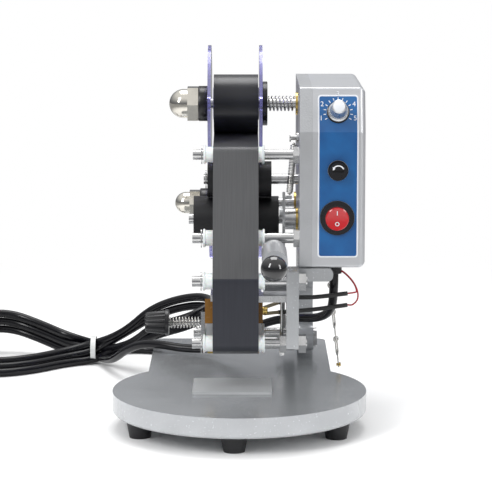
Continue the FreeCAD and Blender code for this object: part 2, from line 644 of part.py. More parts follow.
print(len(made), "nodes;", "bounds", [round(v, 1) for v in (
    min(s.BoundBox.XMin for s in made.values()), max(s.BoundBox.XMax for s in made.values()),
    min(s.BoundBox.YMin for s in made.values()), max(s.BoundBox.YMax for s in made.values()),
    min(s.BoundBox.ZMin for s in made.values()), max(s.BoundBox.ZMax for s in made.values()))])
for name, shape in made.items():
    if not shape.isValid() or shape.Volume <= 0:
        print("not a valid solid:", name)
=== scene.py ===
"""Looks of a hand-operated hot-stamp date coder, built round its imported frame. Metres."""
import bpy
import json
import math
import numpy as np
from mathutils import Matrix, Vector


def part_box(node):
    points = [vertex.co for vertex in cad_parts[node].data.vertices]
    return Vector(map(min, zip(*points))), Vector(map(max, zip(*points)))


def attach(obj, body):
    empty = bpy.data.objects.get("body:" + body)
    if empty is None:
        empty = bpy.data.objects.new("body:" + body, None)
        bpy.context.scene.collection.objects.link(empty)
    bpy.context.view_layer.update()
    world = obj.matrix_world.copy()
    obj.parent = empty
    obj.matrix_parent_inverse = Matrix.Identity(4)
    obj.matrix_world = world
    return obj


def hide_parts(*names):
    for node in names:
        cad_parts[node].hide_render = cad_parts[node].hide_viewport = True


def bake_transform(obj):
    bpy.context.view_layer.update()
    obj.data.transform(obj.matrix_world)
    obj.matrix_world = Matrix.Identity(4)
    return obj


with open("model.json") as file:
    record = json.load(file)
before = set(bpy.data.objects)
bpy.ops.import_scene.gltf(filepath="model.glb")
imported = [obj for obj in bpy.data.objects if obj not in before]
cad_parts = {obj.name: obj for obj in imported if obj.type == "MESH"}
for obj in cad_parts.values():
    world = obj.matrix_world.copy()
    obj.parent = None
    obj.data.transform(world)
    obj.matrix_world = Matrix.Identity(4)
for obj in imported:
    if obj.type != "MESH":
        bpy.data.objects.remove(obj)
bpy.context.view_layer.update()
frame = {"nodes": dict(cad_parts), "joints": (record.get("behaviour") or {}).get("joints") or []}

MM = 0.001
plate_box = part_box("table_plate")
TOP = plate_box[1].z                       # top face of the table
TABLE_Y = plate_box[0].y + (plate_box[1].x - plate_box[0].x) / 2   # centre of the round table


def P(x, y, z):
    """A point given in millimetres from the table's centre and top face."""
    return Vector((x * MM, TABLE_Y + y * MM, TOP + z * MM))


def A(points):
    """The same for an array of points, as an n by 3 array in metres."""
    return np.asarray(points, float) * MM + np.array([0.0, TABLE_Y, TOP])


# ---- materials -----------------------------------------------------------------------
def material(name, color, rough=0.5, metal=0.0, **sockets):
    """A Principled material; sockets are set straight on the shader."""
    m = bpy.data.materials.new(name)
    m.use_nodes = True
    b = m.node_tree.nodes["Principled BSDF"]
    b.inputs["Base Color"].default_value = (*color, 1)
    b.inputs["Roughness"].default_value = rough
    b.inputs["Metallic"].default_value = metal
    for key, value in sockets.items():
        b.inputs[key.replace("_", " ")].default_value = value
    return m


def add(m, kind, **values):
    n = m.node_tree.nodes.new(kind)
    for key, value in values.items():
        if key in n.inputs:
            n.inputs[key].default_value = value
        else:
            setattr(n, key, value)
    return n


def place(m, stretch=(1, 1, 1)):
    """Object coordinates, stretched so that a pattern can run along one axis."""
    coords = add(m, "ShaderNodeTexCoord")
    mapping = add(m, "ShaderNodeMapping")
    mapping.inputs["Scale"].default_value = stretch
    m.node_tree.links.new(coords.outputs["Object"], mapping.inputs["Vector"])
    return mapping.outputs["Vector"]


def noise(m, scale, detail=3.0, stretch=(1, 1, 1)):
    n = add(m, "ShaderNodeTexNoise", Scale=scale, Detail=detail)
    m.node_tree.links.new(place(m, stretch), n.inputs["Vector"])
    return n.outputs["Fac"]


def span(m, source, low, high):
    """Maps a 0 to 1 pattern to the range low to high."""
    n = add(m, "ShaderNodeMapRange")
    n.inputs["To Min"].default_value = low
    n.inputs["To Max"].default_value = high
    m.node_tree.links.new(source, n.inputs["Value"])
    return n.outputs["Result"]


def mix(m, source, dark, light, low=0.35, high=0.65):
    """Colour between dark and light by a pattern."""
    ramp = add(m, "ShaderNodeValToRGB")
    ramp.color_ramp.elements[0].position = low
    ramp.color_ramp.elements[1].position = high
    ramp.color_ramp.elements[0].color = (*dark, 1)
    ramp.color_ramp.elements[1].color = (*light, 1)
    m.node_tree.links.new(source, ramp.inputs["Fac"])
    return ramp.outputs["Color"]


def dress(m, color=None, rough=None, bump=None, depth=0.0001, strength=0.5):
    """Links patterns to the shader's colour, roughness and normal."""
    links, b = m.node_tree.links, m.node_tree.nodes["Principled BSDF"]
    if color is not None:
        links.new(color, b.inputs["Base Color"])
    if rough is not None:
        links.new(rough, b.inputs["Roughness"])
    if bump is not None:
        n = add(m, "ShaderNodeBump", Strength=strength, Distance=depth)
        links.new(bump, n.inputs["Height"])
        links.new(n.outputs["Normal"], b.inputs["Normal"])
    return m


def brushed(name, color, rough, stretch, metal=1.0):
    """Metal with fine lines along the axis that has the smallest stretch."""
    m = material(name, color, rough, metal)
    grain = noise(m, 900, 2, stretch)
    dark = tuple(c * 0.82 for c in color)
    return dress(m, mix(m, noise(m, 60, 4), dark, color), span(m, grain, rough * 0.7, rough * 1.5),
                 grain, 0.00004, 0.35)


def speckled(name, color, rough, scale, depth, metal=0.0, strength=0.6, spread=0.12, **sockets):
    """Paint or plastic with a fine even texture and a faint drift of tone."""
    m = material(name, color, rough, metal, **sockets)
    fine = noise(m, scale, 2)
    dark = tuple(c * (1 - spread) for c in color)
    return dress(m, mix(m, noise(m, 35, 5), dark, color, 0.3, 0.7),
                 span(m, fine, rough * 0.85, min(1.0, rough * 1.2)), fine, depth, strength)


silver = speckled("silver_enamel", (0.49, 0.505, 0.52), 0.25, 900, 0.00016, 0.6, 0.6, 0.14,
                  Coat_Weight=0.4, Coat_Roughness=0.16)
hammer = speckled("hammered_silver", (0.52, 0.53, 0.545), 0.36, 700, 0.00022, 0.5, 0.8, 0.12)
panel_silver = speckled("satin_silver", (0.58, 0.59, 0.61), 0.34, 1800, 0.00006, 0.5, 0.4, 0.06)
bar_grey = speckled("grey_lacquer", (0.50, 0.51, 0.53), 0.3, 2000, 0.00003, 0.2, 0.3, 0.05,
                    Coat_Weight=0.5, Coat_Roughness=0.1)
steel = brushed("turned_steel", (0.66, 0.66, 0.66), 0.2, (0.15, 6, 6))
sheet_steel = brushed("ground_steel", (0.62, 0.63, 0.64), 0.26, (6, 6, 0.2))
nickel = brushed("nickel_plate", (0.74, 0.71, 0.64), 0.12, (1, 1, 1))
wire_steel = brushed("spring_wire", (0.70, 0.69, 0.66), 0.16, (1, 1, 1))
brass = brushed("yellow_brass", (0.78, 0.56, 0.18), 0.22, (0.2, 5, 5))
aluminium = brushed("milled_aluminium", (0.74, 0.75, 0.76), 0.3, (0.2, 5, 5))
rubber = speckled("black_rubber", (0.007, 0.007, 0.009), 0.5, 1500, 0.00008)
cord_black = speckled("cord_jacket", (0.004, 0.004, 0.006), 0.24, 900, 0.00004, 0.0, 0.2,
                       Specular_IOR_Level=0.3)
gloss_black = speckled("gloss_black", (0.008, 0.008, 0.009), 0.1, 300, 0.00001, 0.0, 0.1,
                       Coat_Weight=0.8, Coat_Roughness=0.04)
plastic_black = speckled("moulded_black", (0.009, 0.009, 0.011), 0.28, 1200, 0.00006, 0.0, 0.4)
nylon = speckled("white_nylon", (0.86, 0.86, 0.85), 0.38, 900, 0.00003, 0.0, 0.3, 0.04,
                 Subsurface_Weight=0.15)
silicone = speckled("silicone_pad", (0.62, 0.635, 0.645), 0.3, 500, 0.00005, 0.0, 0.3, 0.05,
                    Transmission_Weight=0.25)
amber = speckled("amber_laminate", (0.34, 0.15, 0.015), 0.26, 260, 0.00004, 0.0, 0.3, 0.35,
                 Coat_Weight=0.5, Coat_Roughness=0.08)
board = speckled("board_green", (0.02, 0.16, 0.06), 0.4, 700, 0.00005)
red = speckled("red_button", (0.55, 0.008, 0.014), 0.2, 900, 0.00002, 0.0, 0.2, 0.1,
               Coat_Weight=0.6, Coat_Roughness=0.06)
ribbon_roll = speckled("ribbon_edge", (0.012, 0.013, 0.017), 0.3, 400, 0.00003, 0.0, 0.2)
sleeve = speckled("lead_sleeve", (0.03, 0.03, 0.03), 0.6, 1600, 0.0001)
beige = speckled("glass_sleeve", (0.55, 0.47, 0.32), 0.6, 1600, 0.0001)
red_wire = speckled("red_wire", (0.42, 0.01, 0.02), 0.35, 900, 0.00002)
white_print = speckled("white_print", (0.82, 0.84, 0.87), 0.45, 900, 0.00001, 0.0, 0.1, 0.03)
tie_white = speckled("tie_white", (0.72, 0.73, 0.72), 0.4, 900, 0.00004, 0.0, 0.3, 0.06)


def film(name, color, rough):
    """Coding ribbon: thin coated film with faint lengthwise streaks."""
    m = material(name, color, rough, 0.0, IOR=1.5)
    streak = noise(m, 300, 3, (4, 0.12, 0.12))
    dark = tuple(c * 0.86 for c in color)
    return dress(m, mix(m, streak, dark, color), span(m, streak, rough * 0.85, rough * 1.15),
                 noise(m, 45, 2, (0.4, 1, 1)), 0.00025, 0.25)


# The same film in two colours: the lighter grey copy is painted sheen that stands for the room's reflection
# on the forward-tilted upper spans; the darker one is the ribbon's own blue-black.
film_painted_sheen = film("ribbon_painted_sheen", (0.078, 0.079, 0.083), 0.42)
film_dark = film("ribbon_plain", (0.026, 0.028, 0.038), 0.38)


def blue_label():
    """Printed blue with a faint mottling under a clear layer."""
    m = material("label_blue", (0.004, 0.095, 0.30), 0.3, 0.0, Coat_Weight=0.6, Coat_Roughness=0.12)
    return dress(m, mix(m, noise(m, 50, 4), (0.003, 0.080, 0.26), (0.005, 0.115, 0.34)),
                 span(m, noise(m, 600, 2), 0.26, 0.4), noise(m, 1200, 2), 0.00002, 0.2)


label_blue = blue_label()


def violet_sheet():
    """Clear violet acrylic with a faint mottling of tone."""
    m = material("violet_acrylic", (0.46, 0.45, 0.85), 0.06, 0.0, Transmission_Weight=0.82, IOR=1.46)
    return dress(m, mix(m, noise(m, 30, 3), (0.38, 0.37, 0.79), (0.54, 0.53, 0.88)),
                 span(m, noise(m, 300, 3), 0.04, 0.12))


violet = violet_sheet()

node_finish = {
    "table_plate": silver, "column": silver, "press_frame": silver, "head_bridge": sheet_steel,
    "mechanism_plate": hammer, "box_cover": panel_silver, "lever_bar": bar_grey,
    "lever_ball": gloss_black, "rubber_feet": rubber, "cord_gland": plastic_black,
    "silicone_pad": silicone, "frame_rods": steel, "press_rods": steel, "drum_shaft": steel,
    "supply_shaft": steel, "takeup_shaft": steel, "press_nuts": steel, "frame_fasteners": steel,
    "feed_arm": sheet_steel, "stop_screw": steel, "shaft_bushes": brass, "supply_nut": nickel,
    "takeup_nut": nickel, "supply_flanges": violet, "takeup_flanges": violet,
    "supply_washers": plastic_black, "takeup_washers": plastic_black, "panel_components": plastic_black,
    "fuse_cap": plastic_black, "supply_roll": ribbon_roll, "takeup_roll": ribbon_roll,
    "guide_roller_1": nylon, "guide_roller_2": nylon, "press_roller_1": nylon,
    "press_roller_2": nylon, "press_roller_3": nylon, "feed_drum": rubber, "pinch_roller": rubber,
    "type_holder": brass, "heater_block": aluminium, "thumb_screw_plate": sheet_steel,
    "head_insulator": amber, "rocker_button": red, "control_board": board,
    "mains_plug": plastic_black,
}
for node_name, node_material in node_finish.items():
    o = frame["nodes"][node_name]
    if not o.material_slots:
        o.data.materials.append(node_material)
    for material_slot in o.material_slots:
        material_slot.material = node_material


# ---- mesh makers ---------------------------------------------------------------------
def mesh(name, points, faces, finish, smooth=True):
    """An object from points in metres and faces as index tuples."""
    data = bpy.data.meshes.new(name)
    data.from_pydata([tuple(p) for p in points], [], [tuple(f) for f in faces])
    data.polygons.foreach_set("use_smooth", [smooth] * len(data.polygons))
    data.materials.append(finish)
    data.update()
    o = bpy.data.objects.new(name, data)
    bpy.context.scene.collection.objects.link(o)
    return o


def grid(name, points, finish, wrap_u=False, wrap_v=False, caps=False, smooth=True):
    """A surface over a grid of points, rows by columns; caps close the first and last rows."""
    points = np.asarray(points, float)
    rows, cols = points.shape[:2]
    r = np.arange(rows if wrap_u else rows - 1)[:, None]
    c = np.arange(cols if wrap_v else cols - 1)[None, :]
    r1, c1 = (r + 1) % rows, (c + 1) % cols
    quads = np.stack([r * cols + c, r * cols + c1, r1 * cols + c1, r1 * cols + c], -1).reshape(-1, 4)
    faces = quads.tolist()
    if caps:
        faces += [list(range(cols))[::-1], list(range((rows - 1) * cols, rows * cols))]
    return outwards(mesh(name, points.reshape(-1, 3), faces, finish, smooth))


def outwards(o):
    """Merges doubles and points every face outwards."""
    import bmesh
    work = bmesh.new()
    work.from_mesh(o.data)
    bmesh.ops.remove_doubles(work, verts=work.verts, dist=1e-7)
    bmesh.ops.recalc_face_normals(work, faces=work.faces)
    work.to_mesh(o.data)
    work.free()
    return o


def sharp(o, degrees=35):
    """Smooth faces with creases where they meet at more than this angle."""
    o.data.set_sharp_from_angle(angle=math.radians(degrees))
    return o


def turned(name, start, axis, profile, finish, sides=48, flute=None):
    """A turned piece: (distance along the axis, radius) pairs in millimetres carried round the
    axis. flute(angle, i) gives a factor for the radius of ring i."""
    axis = Vector(axis).normalized()
    side = axis.orthogonal().normalized()
    other = axis.cross(side)
    angle = np.linspace(0, 2 * math.pi, sides, endpoint=False)
    rings = []
    for i, (along, radius) in enumerate(profile):
        r = np.maximum(radius, 1e-4) * MM * (flute(angle, i) if flute else np.ones(sides))
        centre = np.array(start) + np.array(axis) * along * MM
        rings.append(centre + np.outer(r * np.cos(angle), side) + np.outer(r * np.sin(angle), other))
    return sharp(grid(name, np.array(rings), finish, wrap_v=True, caps=True))


def frames(path):
    """Unit tangents and two normals along a path, carried without twist."""
    t = np.gradient(path, axis=0)
    t /= np.linalg.norm(t, axis=1)[:, None]
    n = np.cross(t[0], [0.3, 0.2, 0.93])
    normals = []
    for d in t:
        n = n - d * np.dot(n, d)
        n = n / np.linalg.norm(n)
        normals.append(n)
    normals = np.array(normals)
    return t, normals, np.cross(t, normals)


def tube(name, path, radius, finish, sides=10):
    """A round section of this radius in metres carried along a path."""
    path = np.asarray(path, float)
    _, n, b = frames(path)
    angle = np.linspace(0, 2 * math.pi, sides, endpoint=False)
    ring = np.cos(angle)[None, :, None] * n[:, None, :] + np.sin(angle)[None, :, None] * b[:, None, :]
    radius = np.broadcast_to(np.asarray(radius, float), (len(path),))
    return grid(name, path[:, None, :] + ring * radius[:, None, None], finish, wrap_v=True, caps=True)


def smooth_path(points, n):
    """n points on a Catmull-Rom curve through the given points."""
    p = np.asarray(points, float)
    p = np.vstack([2 * p[0] - p[1], p, 2 * p[-1] - p[-2]])
    u = np.linspace(0, len(p) - 3 - 1e-9, n)
    i = u.astype(int)
    f = (u - i)[:, None]
    a, b, c, d = p[i], p[i + 1], p[i + 2], p[i + 3]
    return 0.5 * (2 * b + (c - a) * f + (2 * a - 5 * b + 4 * c - d) * f ** 2
                  + (3 * b - 3 * c + d - a) * f ** 3)


def coil_spring(name, start, end, radius, wire, turns, finish, hooks=False):
    """A helix of round wire from start to end, all in metres; hooks bend its ends to the axis."""
    start, end = np.array(start, float), np.array(end, float)
    axis = end - start
    length = np.linalg.norm(axis)
    axis /= length
    side = np.cross(axis, [0.1, 0.97, 0.2])
    side /= np.linalg.norm(side)
    other = np.cross(axis, side)
    u = np.linspace(0, 1, int(turns * 18) + 1)
    a = 2 * math.pi * turns * u
    r = np.full_like(u, radius)
    if hooks:
        r = radius * np.clip(np.minimum(u, 1 - u) * 18, 0.05, 1)
    path = (start + np.outer(u * length, axis) + np.outer(r * np.cos(a), side)
            + np.outer(r * np.sin(a), other))
    return tube(name, path, wire, finish, 8)


def block(name, low, high, finish, bevel=0.3):
    """A bevelled block between two corners in millimetres."""
    lo, hi = A([low])[0], A([high])[0]
    corners = [(x, y, z) for x in (lo[0], hi[0]) for y in (lo[1], hi[1]) for z in (lo[2], hi[2])]
    faces = [(0, 1, 3, 2), (4, 6, 7, 5), (0, 4, 5, 1), (2, 3, 7, 6), (0, 2, 6, 4), (1, 5, 7, 3)]
    o = outwards(mesh(name, corners, faces, finish))
    m = o.modifiers.new("edge", "BEVEL")
    m.width = bevel * MM
    m.segments = 3
    return sharp(o)


def ride(o, body):
    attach(o, body)
    return o


def joint(name):
    return next(j for j in frame["joints"] if j["name"] == name)


# ---- printing position ---------------------------------------------------------------
rock = joint("press_rock")
pivot = Vector(rock["pos_m"])
travel = math.radians(rock["range_deg"][1])


def at_rest(y, z):
    """Where a point (y, z) of the printing position lies at rest, all in millimetres."""
    c, s = math.cos(-travel), math.sin(-travel)
    dy, dz = y - (pivot.y - TABLE_Y) / MM, z - (pivot.z - TOP) / MM
    return (y - dy + dy * c - dz * s, z - dz + dy * s + dz * c)


def in_print(y, z):
    """The opposite: where a rest point lies in the printing position."""
    c, s = math.cos(travel), math.sin(travel)
    dy, dz = y - (pivot.y - TABLE_Y) / MM, z - (pivot.z - TOP) / MM
    return (y - dy + dy * c - dz * s, z - dz + dy * s + dz * c)


# ---- ribbon --------------------------------------------------------------------------
roll_low, roll_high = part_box("supply_roll")
RX0, RX1 = roll_low.x / MM, roll_high.x / MM


def centre_of(node):
    low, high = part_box(node)
    return (((low.y + high.y) / 2 - TABLE_Y) / MM, ((low.z + high.z) / 2 - TOP) / MM)


def arc(centre, radius, start, end, n=14):
    """Points on a circle in the YZ plane, angles in degrees."""
    a = np.radians(np.linspace(start, end, n))
    return [(centre[0] + radius * math.cos(v), centre[1] + radius * math.sin(v)) for v in a]


def dense(points, step=2.5):
    """The same polyline with points at most this far apart."""
    out = [points[0]]
    for a, b in zip(points, points[1:]):
        n = max(1, int(math.dist(a, b) / step))
        out += [(a[0] + (b[0] - a[0]) * k / n, a[1] + (b[1] - a[1]) * k / n) for k in range(1, n + 1)]
    return out


def sheet(name, line, finish, thick=0.06, ripple=0.0):
    """A ribbon: the line in the YZ plane carried across X, with a wall of its own thickness."""
    line = np.array(dense(line))
    across = np.linspace(RX0, RX1, 15)
    t = np.gradient(line, axis=0)
    t /= np.linalg.norm(t, axis=1)[:, None]
    normal = np.stack([-t[:, 1], t[:, 0]], 1)
    k = np.linspace(0, 1, len(line))[:, None]
    wave = ripple * np.sin(k * 9 + across[None, :] * 0.12) * np.sin(np.pi * k)
    sides = []
    for offset in (-thick / 2, thick / 2):
        y = line[:, None, 0] + normal[:, None, 0] * (offset + wave)
        z = line[:, None, 1] + normal[:, None, 1] * (offset + wave)
        x = np.broadcast_to(across[None, :], y.shape)
        sides.append(A(np.stack([x, y, z], -1).reshape(-1, 3)).reshape(len(line), len(across), 3))
    loop = np.concatenate([sides[0], sides[1][:, ::-1]], 1)
    return sharp(grid(name, loop, finish, wrap_v=True, caps=True), 50)


G1, G2 = centre_of("guide_roller_1"), centre_of("guide_roller_2")
P1, P2, P3 = (centre_of(f"press_roller_{i}") for i in (1, 2, 3))
DRUM, SUPPLY, TAKEUP = centre_of("feed_drum"), centre_of("supply_roll"), centre_of("takeup_roll")
ROLL_R = (roll_high.y - roll_low.y) / 2 / MM
TAKE_R = (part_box("takeup_roll")[1].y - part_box("takeup_roll")[0].y) / 2 / MM
NEAR = 6.35                                # ribbon's distance from a guide roller's axis


def tangent(a, ra, b, rb, side, crossed):
    """Angle in degrees of the contact normal on circle a of the common tangent of a and b."""
    dy, dz = b[0] - a[0], b[1] - a[1]
    dist = math.hypot(dy, dz)
    open_angle = math.degrees(math.acos((ra + rb if crossed else ra - rb) / dist))
    return math.degrees(math.atan2(dz, dy)) + side * open_angle


def on(c, r, degrees):
    return (c[0] + r * math.cos(math.radians(degrees)), c[1] + r * math.sin(math.radians(degrees)))


leave = tangent(SUPPLY, ROLL_R + 0.1, G1, NEAR, 1, True)
front = tangent(G1, NEAR, P1, NEAR, -1, False)
front = front % 360
line = [on(SUPPLY, ROLL_R + 0.1, leave)] + arc(G1, NEAR, (leave - 180) % 360, front)
# The run from the supply and the front span take the lighter film, whose grey is painted sheen; from the
# front press roller down the ribbon takes the darker film.
supply_run = sheet("ribbon_from_supply", line, film_painted_sheen)
ride(supply_run, "root")

front_span = sheet("ribbon_front", [on(G1, NEAR, front), on(P1, NEAR, front)], film_painted_sheen, ripple=0.12)
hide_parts("ribbon_front_span")
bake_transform(front_span)

down = tangent(P1, NEAR, P2, NEAR, -1, False) % 360
face_z = 2.8 - 0.22
head_mid = in_print(6.0, 27.0)[0]
under = [(head_mid - 9.3, face_z), (head_mid + 9.3, face_z)]
out_angle = math.degrees(travel)
line = arc(P1, NEAR, front, down, 4) + arc(P2, NEAR, down, 262 - out_angle, 16)
line += [at_rest(*p) for p in under]
rise = -78 - out_angle
line += arc(P3, NEAR, rise + 26, 0, 10)
print_loop = sheet("ribbon_at_head", line, film_dark)
ride(print_loop, "press")
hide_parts("ribbon_print_loop")

drum_r = (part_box("feed_drum")[1].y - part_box("feed_drum")[0].y) / 2 / MM
meet = tangent(P3, NEAR, DRUM, drum_r + 0.1, -1, True)
back_span = sheet("ribbon_back", [on(P3, NEAR, 0), on(DRUM, drum_r + 0.1, meet + 180)], film_dark)
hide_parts("ribbon_back_span")
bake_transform(back_span)
top = tangent(DRUM, drum_r + 0.1, TAKEUP, TAKE_R + 0.1, 1, False)
line = arc(DRUM, drum_r + 0.1, meet + 180, top, 18) + [on(TAKEUP, TAKE_R + 0.1, top)]
takeup_run = sheet("ribbon_to_takeup", line, film_dark)
ride(takeup_run, "root")
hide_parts("ribbon_upper_runs")

# ---- springs -------------------------------------------------------------------------
low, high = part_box("supply_spring")
mid = (low + high) / 2
spring = coil_spring("supply_coil", (low.x + 0.0007, mid.y, mid.z), (high.x - 0.0007, mid.y, mid.z),
                     0.0055, 0.00065, 7.0, wire_steel)
ride(spring, "supply_reel")
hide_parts("supply_spring")
low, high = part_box("thumb_spring")
mid = (low + high) / 2
spring = coil_spring("thumb_coil", (low.x + 0.0005, mid.y, mid.z), (high.x - 0.0005, mid.y, mid.z),
                     0.0042, 0.0004, 9.5, wire_steel)
ride(spring, "press")
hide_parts("thumb_spring")
low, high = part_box("return_spring")
hook_low = Vector((0.0390, P(0, 41, 0).y, P(0, 0, 146).z))
hook_high = Vector((0.0425, P(0, 41, 0).y, P(0, 0, 187).z))
spring = coil_spring("return_coil", hook_low, hook_high, 0.0023, 0.00042, 34, wire_steel, True)
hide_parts("return_spring")
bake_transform(spring)

# ---- mains cord ----------------------------------------------------------------------
LEAD = 0.007
FLOOR = -TOP / MM + LEAD / 2 / MM + 0.1     # height of a cord's middle when it lies on the ground
route = [(73.8, 30.0, 85.9), (73.8, 30.5, 68.0), (72.0, 46.0, 52.0), (62.0, 66.0, 43.0),
         (44.0, 84.0, 40.5), (20.0, 98.0, 34.0), (0.0, 112.0, 18.0), (-22.0, 126.0, 6.0),
         (-46.0, 134.0, 4.4), (-66.0, 142.0, 6.4), (-82.0, 152.0, 5.0), (-96.0, 168.0, -3.0),
         (-106.0, 187.0, -14.0), (-113.0, 204.0, -20.0)]
tie = (-129.0, 238.0)                       # middle of the tied bundle, on the ground
# Each strand's place in the tie: forwards of its middle, and above the ground.
slots = [(-7.3, 0.0), (7.3, 0.0), (3.7, 6.5), (-3.7, 6.5), (0.2, 13.0)]


def at_tie(k):
    forwards, up = slots[k]
    return (tie[0], tie[1] - forwards, FLOOR + up)


def left_loop(k, back_first):
    """Loop on the ground, left of the tie; each one lies inside and above the one before."""
    back = [(-152, 256, 2), (-178, 276, 9), (-206, 287, 17), (-230, 278, 18)]
    side = [(-246, 254, 13), (-250, 222, 5)]
    front = [(-240, 190, 0), (-214, 173, 0), (-182, 186, 0), (-154, 217, 0)]
    path = [(x, y - 2.5 * k, FLOOR + z + 7.6 * k) for x, y, z in back]
    path += [(x + 4 * k, y, FLOOR + z + 6 * k) for x, y, z in side]
    path += [(x, y + 6.4 * k, FLOOR + z + 3.8 * k) for x, y, z in front]
    return path if back_first else path[::-1]


def right_loop(k):
    """Loop that leans up over the neck's rear corner, right of the tie."""
    lift = 8.0 * k
    rise = [(-110, 227, -17), (-92, 207, -7), (-76, 182, 5), (-60, 165, 13), (-44, 157, 19),
            (-29, 163, 25), (-23, 180, 29), (-34, 197, 30), (-56, 207, 25), (-78, 214, 15),
            (-96, 221, 3), (-112, 231, -8)]
    return [(x, y - 2 * k, z + lift * (0.35 if x < -90 else 1.0)) for x, y, z in rise]


for index in range(2):
    route += [at_tie(2 * index)] + left_loop(index, index == 0) + [at_tie(2 * index + 1)]
    route += right_loop(index)
route += [at_tie(4)] + left_loop(2, False)
route += [(-122.0, 262.0, FLOOR + 6.0), (-99.9, 276.0, FLOOR), (-84.0, 275.5, FLOOR),
          (-66.0, 266.0, FLOOR), (-48.0, 262.0, FLOOR + 2.0), (-33.0, 262.0, FLOOR + 5.4)]


def cord_curve(name, points, radius, finish):
    """A NURBS cord of this radius with these control points, in millimetres."""
    data = bpy.data.curves.new(name, "CURVE")
    data.dimensions = "3D"
    data.bevel_depth = radius
    data.bevel_resolution = 5
    data.use_fill_caps = True
    s = data.splines.new("NURBS")
    s.points.add(len(points) - 1)
    for p, q in zip(s.points, A(points)):
        p.co = (*q, 1)
    s.order_u = 3
    s.use_endpoint_u = True
    s.resolution_u = 8
    data.materials.append(finish)
    o = bpy.data.objects.new(name, data)
    bpy.context.scene.collection.objects.link(o)
    return o


def curve_length(o):
    flat = o.data.copy()
    flat.bevel_depth = 0
    probe = bpy.data.objects.new("probe", flat)
    m = bpy.data.meshes.new_from_object(probe)
    co = np.zeros(len(m.vertices) * 3, np.float32)
    m.vertices.foreach_get("co", co)
    bpy.data.objects.remove(probe)
    return float(np.linalg.norm(np.diff(co.reshape(-1, 3), axis=0), axis=1).sum())


cord = cord_curve("mains_cord", route, LEAD / 2, cord_black)
ride(cord, "root")
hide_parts("mains_lead", "cord_hank", "cord_loops", "mains_tail")


def tie_band():
    """Cable tie round the bundle: a flat band on a rounded outline."""
    u = np.linspace(0, 2 * math.pi, 40, endpoint=False)
    across, up = 13.6 * np.cos(u), 10.6 * np.sin(u)
    mid = np.array([tie[0], tie[1], FLOOR + 8.4])
    side = np.array([0.0, -1.0, 0.0])
    along = np.array([1.0, 0.0, 0.0])
    rows = []
    for w, grow in ((-2.2, 0.0), (-2.2, 1.0), (2.2, 1.0), (2.2, 0.0)):
        k = 1 + grow * 0.085
        rows.append(mid + along * w + np.outer(across * k, side) + np.outer(up * k, [0, 0, 1]))
    o = grid("cord_tie", A(np.concatenate(rows)).reshape(4, -1, 3), tie_white, wrap_u=True, wrap_v=True)
    return sharp(o)


band = tie_band()
ride(band, "root")
real_length = curve_length(cord)

# ---- heater leads --------------------------------------------------------------------
leads = [
    [(19.6, 12.0, 62.0), (28.0, 17.0, 64.0), (42.0, 20.0, 68.0), (60.0, 19.0, 69.0), (84.0, 18.0, 72.0)],
    [(19.6, 7.0, 58.0), (28.0, 14.5, 57.5), (42.0, 20.0, 57.5), (60.0, 21.0, 59.0), (84.0, 20.0, 62.5)]]
made_leads = []
for k, points in enumerate(leads):
    path = A(smooth_path(points, 48))
    black = tube(f"lead_sleeve_{k + 1}", path[14:], 0.0017, sleeve, 12)
    pale = tube(f"lead_braid_{k + 1}", path[:16], 0.0014, beige, 12)
    made_leads += [black, pale]
thin = [[(84.0, 18.0, 72.0), (88.5, 18.4, 72.5), (91.0, 20.0, 73.5), (89.0, 23.0, 79.0),
         (83.0, 27.0, 85.5), (76.0, 30.5, 90.0)],
        [(84.0, 20.0, 62.5), (88.0, 19.0, 63.0), (91.6, 19.0, 67.0), (91.8, 20.5, 73.0), (88.5, 24.0, 80.0),
         (82.0, 28.0, 86.5), (75.6, 31.0, 90.0)]]
for k, points in enumerate(thin):
    made_leads.append(tube(f"red_wire_{k + 1}", A(smooth_path(points, 60)), 0.00062, red_wire, 8))
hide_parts("heater_leads")
for o in made_leads:
    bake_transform(o)

# ---- chain ---------------------------------------------------------------------------
start = Vector((0.070, P(0, 66, 0).y, P(0, 0, 92.2).z))
stop = Vector((0.0795, P(0, 66, 0).y, P(0, 0, 4.2).z))


def link(name, a, b, turn):
    """One long wire link: straight shank with a flattened eye at each end."""
    a, b = np.array(a), np.array(b)
    d = b - a
    length = np.linalg.norm(d)
    d /= length
    side = np.cross(d, [math.sin(turn), math.cos(turn), 0.0])
    side /= np.linalg.norm(side)
    u = np.linspace(0, 2 * math.pi, 41)[:-1]
    eye = 0.0021
    t = np.cos(u)
    wide = eye * np.sin(u) * (0.35 + 0.65 * np.abs(t) ** 4)
    path = (a + b) / 2 + np.outer(t * length * 0.56, d) + np.outer(wide, side)
    ring_dir = np.gradient(np.vstack([path[-1:], path, path[:1]]), axis=0)[1:-1]
    ring_dir /= np.linalg.norm(ring_dir, axis=1)[:, None]
    up = np.cross(d, side)
    out = np.cross(ring_dir, up)
    v = np.linspace(0, 2 * math.pi, 8, endpoint=False)
    rows = path[:, None, :] + 0.0006 * (np.cos(v)[None, :, None] * out[:, None, :]
                                        + np.sin(v)[None, :, None] * up[None, None, :])
    return grid(name, rows, wire_steel, wrap_u=True, wrap_v=True)


count = 8


def ring(name, centre, radius, wire, turn):
    """A closed round ring of wire in a plane that holds the vertical, turned about it."""
    u, v = (np.linspace(0, 2 * math.pi, n, endpoint=False) for n in (28, 8))
    across = np.array([math.cos(turn), math.sin(turn), 0.0])
    spoke = np.outer(np.cos(u), across) + np.outer(np.sin(u), [0, 0, 1])
    normal = np.array([-across[1], across[0], 0.0])
    rows = (np.array(centre) + radius * spoke[:, None, :]
            + wire * (np.cos(v)[None, :, None] * spoke[:, None, :] + np.sin(v)[None, :, None] * normal))
    return grid(name, rows, wire_steel, wrap_u=True, wrap_v=True)


